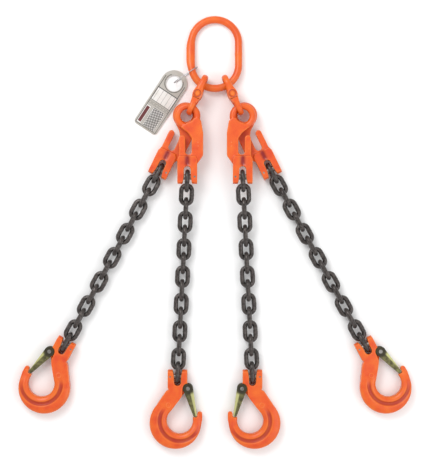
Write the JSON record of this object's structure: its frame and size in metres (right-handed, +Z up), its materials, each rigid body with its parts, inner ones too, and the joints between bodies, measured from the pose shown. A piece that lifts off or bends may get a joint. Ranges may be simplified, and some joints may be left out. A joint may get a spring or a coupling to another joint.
{
  "type": "chain sling",
  "caption": "Chain sling with an oval master link, coupling links, shortening hooks and clevis sling hooks with latches, laid flat.",
  "frame": {"origin": "centre of the laid-out sling's box, on the surface that it lies on", "axes": "+Z up from the surface, +Y from the hooks to the master link, +X to the right seen from above"},
  "size_m": [0.8586, 0.9474, 0.0546],
  "materials": {
    "orange_paint": "orange powder paint over forged steel",
    "chain_steel": "dark oiled alloy chain",
    "pin_steel": "ground alloy pins",
    "latch_plating": "olive zinc plating",
    "spring_steel": "spring steel",
    "steel_wire": "stainless wire",
    "tag_plate": "printed metal plate"
  },
  "bodies": {
    "master": {"master_link": "orange_paint"},
    "left_connector_upper": {"left_connector_upper": "orange_paint", "left_connector_pin": "orange_paint", "left_connector_sleeve": "pin_steel"},
    "left_connector_lower": {"left_connector_lower": "orange_paint"},
    "right_connector_upper": {"right_connector_upper": "orange_paint", "right_connector_pin": "orange_paint", "right_connector_sleeve": "pin_steel"},
    "right_connector_lower": {"right_connector_lower": "orange_paint"},
    "left_inner_shortening_hook": {"left_inner_shortening_hook": "orange_paint", "left_inner_shortening_pins": "pin_steel"},
    "left_inner_chain_1": {"left_inner_chain_1": "chain_steel"},
    "left_inner_chain_2": {"left_inner_chain_2": "chain_steel"},
    "left_inner_chain_3": {"left_inner_chain_3": "chain_steel"},
    "left_inner_chain_4": {"left_inner_chain_4": "chain_steel"},
    "left_inner_chain_5": {"left_inner_chain_5": "chain_steel"},
    "left_inner_sling_hook": {"left_inner_sling_hook": "orange_paint", "left_inner_sling_pins": "pin_steel", "left_inner_latch_pin": "pin_steel", "left_inner_latch_spring": "spring_steel"},
    "left_inner_latch": {"left_inner_latch": "latch_plating"},
    "left_outer_shortening_hook": {"left_outer_shortening_hook": "orange_paint", "left_outer_shortening_pins": "pin_steel"},
    "left_outer_chain_1": {"left_outer_chain_1": "chain_steel"},
    "left_outer_chain_2": {"left_outer_chain_2": "chain_steel"},
    "left_outer_chain_3": {"left_outer_chain_3": "chain_steel"},
    "left_outer_chain_4": {"left_outer_chain_4": "chain_steel"},
    "left_outer_chain_5": {"left_outer_chain_5": "chain_steel"},
    "left_outer_sling_hook": {"left_outer_sling_hook": "orange_paint", "left_outer_sling_pins": "pin_steel", "left_outer_latch_pin": "pin_steel", "left_outer_latch_spring": "spring_steel"},
    "left_outer_latch": {"left_outer_latch": "latch_plating"},
    "right_inner_shortening_hook": {"right_inner_shortening_hook": "orange_paint", "right_inner_shortening_pins": "pin_steel"},
    "right_inner_chain_1": {"right_inner_chain_1": "chain_steel"},
    "right_inner_chain_2": {"right_inner_chain_2": "chain_steel"},
    "right_inner_chain_3": {"right_inner_chain_3": "chain_steel"},
    "right_inner_chain_4": {"right_inner_chain_4": "chain_steel"},
    "right_inner_chain_5": {"right_inner_chain_5": "chain_steel"},
    "right_inner_sling_hook": {"right_inner_sling_hook": "orange_paint", "right_inner_sling_pins": "pin_steel", "right_inner_latch_pin": "pin_steel", "right_inner_latch_spring": "spring_steel"},
    "right_inner_latch": {"right_inner_latch": "latch_plating"},
    "right_outer_shortening_hook": {"right_outer_shortening_hook": "orange_paint", "right_outer_shortening_pins": "pin_steel"},
    "right_outer_chain_1": {"right_outer_chain_1": "chain_steel"},
    "right_outer_chain_2": {"right_outer_chain_2": "chain_steel"},
    "right_outer_chain_3": {"right_outer_chain_3": "chain_steel"},
    "right_outer_chain_4": {"right_outer_chain_4": "chain_steel"},
    "right_outer_chain_5": {"right_outer_chain_5": "chain_steel"},
    "right_outer_sling_hook": {"right_outer_sling_hook": "orange_paint", "right_outer_sling_pins": "pin_steel", "right_outer_latch_pin": "pin_steel", "right_outer_latch_spring": "spring_steel"},
    "right_outer_latch": {"right_outer_latch": "latch_plating"},
    "tag_wire": {"tag_wire": "steel_wire"},
    "tag": {"tag": "tag_plate"}
  },
  "joints": [
    {"name": "left_connector_lift", "type": "hinge", "parent": "master", "child": "left_connector_upper", "pos_m": [-0.02767, 0.32209, 0.0175], "axis": [-0.8434, 0.5361, -0.0355], "range_deg": [0, 60]},
    {"name": "left_connector_turn", "type": "hinge", "parent": "left_connector_upper", "child": "left_connector_lower", "pos_m": [-0.03791, 0.29994, 0.0273], "axis": [0, 0, 1], "range_deg": [-8, 4]},
    {"name": "right_connector_lift", "type": "hinge", "parent": "master", "child": "right_connector_upper", "pos_m": [0.02767, 0.32209, 0.0175], "axis": [-0.8434, -0.5361, 0.0355], "range_deg": [0, 60]},
    {"name": "right_connector_turn", "type": "hinge", "parent": "right_connector_upper", "child": "right_connector_lower", "pos_m": [0.03791, 0.29994, 0.0273], "axis": [0, 0, 1], "range_deg": [-4, 8]},
    {"name": "tag_wire_lift", "type": "hinge", "parent": "master", "child": "tag_wire", "pos_m": [-0.0501, 0.35334, 0.01543], "axis": [-0.2336, 0.9723, 0], "range_deg": [0, 60]},
    {"name": "tag_swing", "type": "hinge", "parent": "tag_wire", "child": "tag", "pos_m": [-0.09006, 0.32639, 0.003], "axis": [0, 0, 1], "range_deg": [-30, 15]},
    {"name": "left_inner_hook_swing", "type": "hinge", "parent": "left_connector_lower", "child": "left_inner_shortening_hook", "pos_m": [-0.0567, 0.25927, 0.0381], "axis": [0, 0, 1], "range_deg": [-10, 3]},
    {"name": "left_outer_hook_swing", "type": "hinge", "parent": "left_connector_lower", "child": "left_outer_shortening_hook", "pos_m": [-0.0567, 0.25927, 0.0165], "axis": [0, 0, 1], "range_deg": [-55, 6]},
    {"name": "right_inner_hook_swing", "type": "hinge", "parent": "right_connector_lower", "child": "right_inner_shortening_hook", "pos_m": [0.0567, 0.25927, 0.0381], "axis": [0, 0, 1], "range_deg": [-3, 10]},
    {"name": "right_outer_hook_swing", "type": "hinge", "parent": "right_connector_lower", "child": "right_outer_shortening_hook", "pos_m": [0.0567, 0.25927, 0.0165], "axis": [0, 0, 1], "range_deg": [-6, 55]},
    {"name": "left_inner_latch_open", "type": "hinge", "parent": "left_inner_sling_hook", "child": "left_inner_latch", "pos_m": [-0.05908, -0.34191, 0.0165], "axis": [0, 0, -1], "range_deg": [0, 26], "stiffness_Nm_per_rad": 0.05, "springref_deg": -20.05},
    {"name": "left_outer_latch_open", "type": "hinge", "parent": "left_outer_sling_hook", "child": "left_outer_latch", "pos_m": [-0.36143, -0.26079, 0.0165], "axis": [0, 0, 1], "range_deg": [0, 26], "stiffness_Nm_per_rad": 0.05, "springref_deg": -20.05},
    {"name": "right_inner_latch_open", "type": "hinge", "parent": "right_inner_sling_hook", "child": "right_inner_latch", "pos_m": [0.05908, -0.34191, 0.0165], "axis": [0, 0, 1], "range_deg": [0, 26], "stiffness_Nm_per_rad": 0.05, "springref_deg": -20.05},
    {"name": "right_outer_latch_open", "type": "hinge", "parent": "right_outer_sling_hook", "child": "right_outer_latch", "pos_m": [0.36143, -0.26079, 0.0165], "axis": [0, 0, -1], "range_deg": [0, 26], "stiffness_Nm_per_rad": 0.05, "springref_deg": -20.05},
    {"name": "left_inner_sling_hook_lift", "type": "hinge", "parent": "left_inner_chain_5", "child": "left_inner_sling_hook", "pos_m": [-0.08188, -0.31611, 0.0165], "axis": [-1, 0, 0], "range_deg": [-45, 45]},
    {"name": "left_outer_sling_hook_lift", "type": "hinge", "parent": "left_outer_chain_5", "child": "left_outer_sling_hook", "pos_m": [-0.3291, -0.24894, 0.0165], "axis": [-0.8796, 0.4756, 0], "range_deg": [-45, 45]},
    {"name": "right_inner_sling_hook_lift", "type": "hinge", "parent": "right_inner_chain_5", "child": "right_inner_sling_hook", "pos_m": [0.08188, -0.31611, 0.0165], "axis": [-1, 0, 0], "range_deg": [-45, 45]},
    {"name": "right_outer_sling_hook_lift", "type": "hinge", "parent": "right_outer_chain_5", "child": "right_outer_sling_hook", "pos_m": [0.3291, -0.24894, 0.0165], "axis": [-0.8796, -0.4756, 0], "range_deg": [-45, 45]},
    {"name": "left_inner_chain_1_lift", "type": "hinge", "parent": "left_inner_shortening_hook", "child": "left_inner_chain_1", "pos_m": [-0.06018, 0.11974, 0.0381], "axis": [0.9988, -0.0497, 0], "range_deg": [-45, 45]},
    {"name": "left_inner_chain_2_swing", "type": "hinge", "parent": "left_inner_chain_1", "child": "left_inner_chain_2", "pos_m": [-0.06457, 0.0315, 0.02736], "axis": [-0.006, -0.1205, 0.9927], "range_deg": [-8, 3]},
    {"name": "left_inner_chain_3_lift", "type": "hinge", "parent": "left_inner_chain_2", "child": "left_inner_chain_3", "pos_m": [-0.06901, -0.05773, 0.0165], "axis": [-0.9988, 0.0497, 0], "range_deg": [-45, 45]},
    {"name": "left_inner_chain_4_swing", "type": "hinge", "parent": "left_inner_chain_3", "child": "left_inner_chain_4", "pos_m": [-0.07349, -0.14762, 0.0165], "axis": [0, 0, 1], "range_deg": [-12, 5]},
    {"name": "left_inner_chain_5_lift", "type": "hinge", "parent": "left_inner_chain_4", "child": "left_inner_chain_5", "pos_m": [-0.07796, -0.23751, 0.0165], "axis": [0.9988, -0.0497, 0], "range_deg": [-45, 45]},
    {"name": "left_outer_chain_1_lift", "type": "hinge", "parent": "left_outer_shortening_hook", "child": "left_outer_chain_1", "pos_m": [-0.12092, 0.13608, 0.0165], "axis": [0.8796, -0.4756, 0], "range_deg": [-45, 45]},
    {"name": "left_outer_chain_2_swing", "type": "hinge", "parent": "left_outer_chain_1", "child": "left_outer_chain_2", "pos_m": [-0.16325, 0.05779, 0.0165], "axis": [0, 0, 1], "range_deg": [-45, 8]},
    {"name": "left_outer_chain_3_lift", "type": "hinge", "parent": "left_outer_chain_2", "child": "left_outer_chain_3", "pos_m": [-0.20606, -0.02138, 0.0165], "axis": [-0.8796, 0.4756, 0], "range_deg": [-45, 45]},
    {"name": "left_outer_chain_4_swing", "type": "hinge", "parent": "left_outer_chain_3", "child": "left_outer_chain_4", "pos_m": [-0.24886, -0.10054, 0.0165], "axis": [0, 0, 1], "range_deg": [-45, 12]},
    {"name": "left_outer_chain_5_lift", "type": "hinge", "parent": "left_outer_chain_4", "child": "left_outer_chain_5", "pos_m": [-0.29167, -0.17971, 0.0165], "axis": [0.8796, -0.4756, 0], "range_deg": [-45, 45]},
    {"name": "right_inner_chain_1_lift", "type": "hinge", "parent": "right_inner_shortening_hook", "child": "right_inner_chain_1", "pos_m": [0.06018, 0.11974, 0.0381], "axis": [0.9988, 0.0497, 0], "range_deg": [-45, 45]},
    {"name": "right_inner_chain_2_swing", "type": "hinge", "parent": "right_inner_chain_1", "child": "right_inner_chain_2", "pos_m": [0.06457, 0.0315, 0.02736], "axis": [0.006, -0.1205, 0.9927], "range_deg": [-3, 8]},
    {"name": "right_inner_chain_3_lift", "type": "hinge", "parent": "right_inner_chain_2", "child": "right_inner_chain_3", "pos_m": [0.06901, -0.05773, 0.0165], "axis": [-0.9988, -0.0497, 0], "range_deg": [-45, 45]},
    {"name": "right_inner_chain_4_swing", "type": "hinge", "parent": "right_inner_chain_3", "child": "right_inner_chain_4", "pos_m": [0.07349, -0.14762, 0.0165], "axis": [0, 0, 1], "range_deg": [-5, 12]},
    {"name": "right_inner_chain_5_lift", "type": "hinge", "parent": "right_inner_chain_4", "child": "right_inner_chain_5", "pos_m": [0.07796, -0.23751, 0.0165], "axis": [0.9988, 0.0497, 0], "range_deg": [-45, 45]},
    {"name": "right_outer_chain_1_lift", "type": "hinge", "parent": "right_outer_shortening_hook", "child": "right_outer_chain_1", "pos_m": [0.12092, 0.13608, 0.0165], "axis": [0.8796, 0.4756, 0], "range_deg": [-45, 45]},
    {"name": "right_outer_chain_2_swing", "type": "hinge", "parent": "right_outer_chain_1", "child": "right_outer_chain_2", "pos_m": [0.16325, 0.05779, 0.0165], "axis": [0, 0, 1], "range_deg": [-8, 45]},
    {"name": "right_outer_chain_3_lift", "type": "hinge", "parent": "right_outer_chain_2", "child": "right_outer_chain_3", "pos_m": [0.20606, -0.02138, 0.0165], "axis": [-0.8796, -0.4756, 0], "range_deg": [-45, 45]},
    {"name": "right_outer_chain_4_swing", "type": "hinge", "parent": "right_outer_chain_3", "child": "right_outer_chain_4", "pos_m": [0.24886, -0.10054, 0.0165], "axis": [0, 0, 1], "range_deg": [-12, 45]},
    {"name": "right_outer_chain_5_lift", "type": "hinge", "parent": "right_outer_chain_4", "child": "right_outer_chain_5", "pos_m": [0.29167, -0.17971, 0.0165], "axis": [0.8796, 0.4756, 0], "range_deg": [-45, 45]}
  ]
}
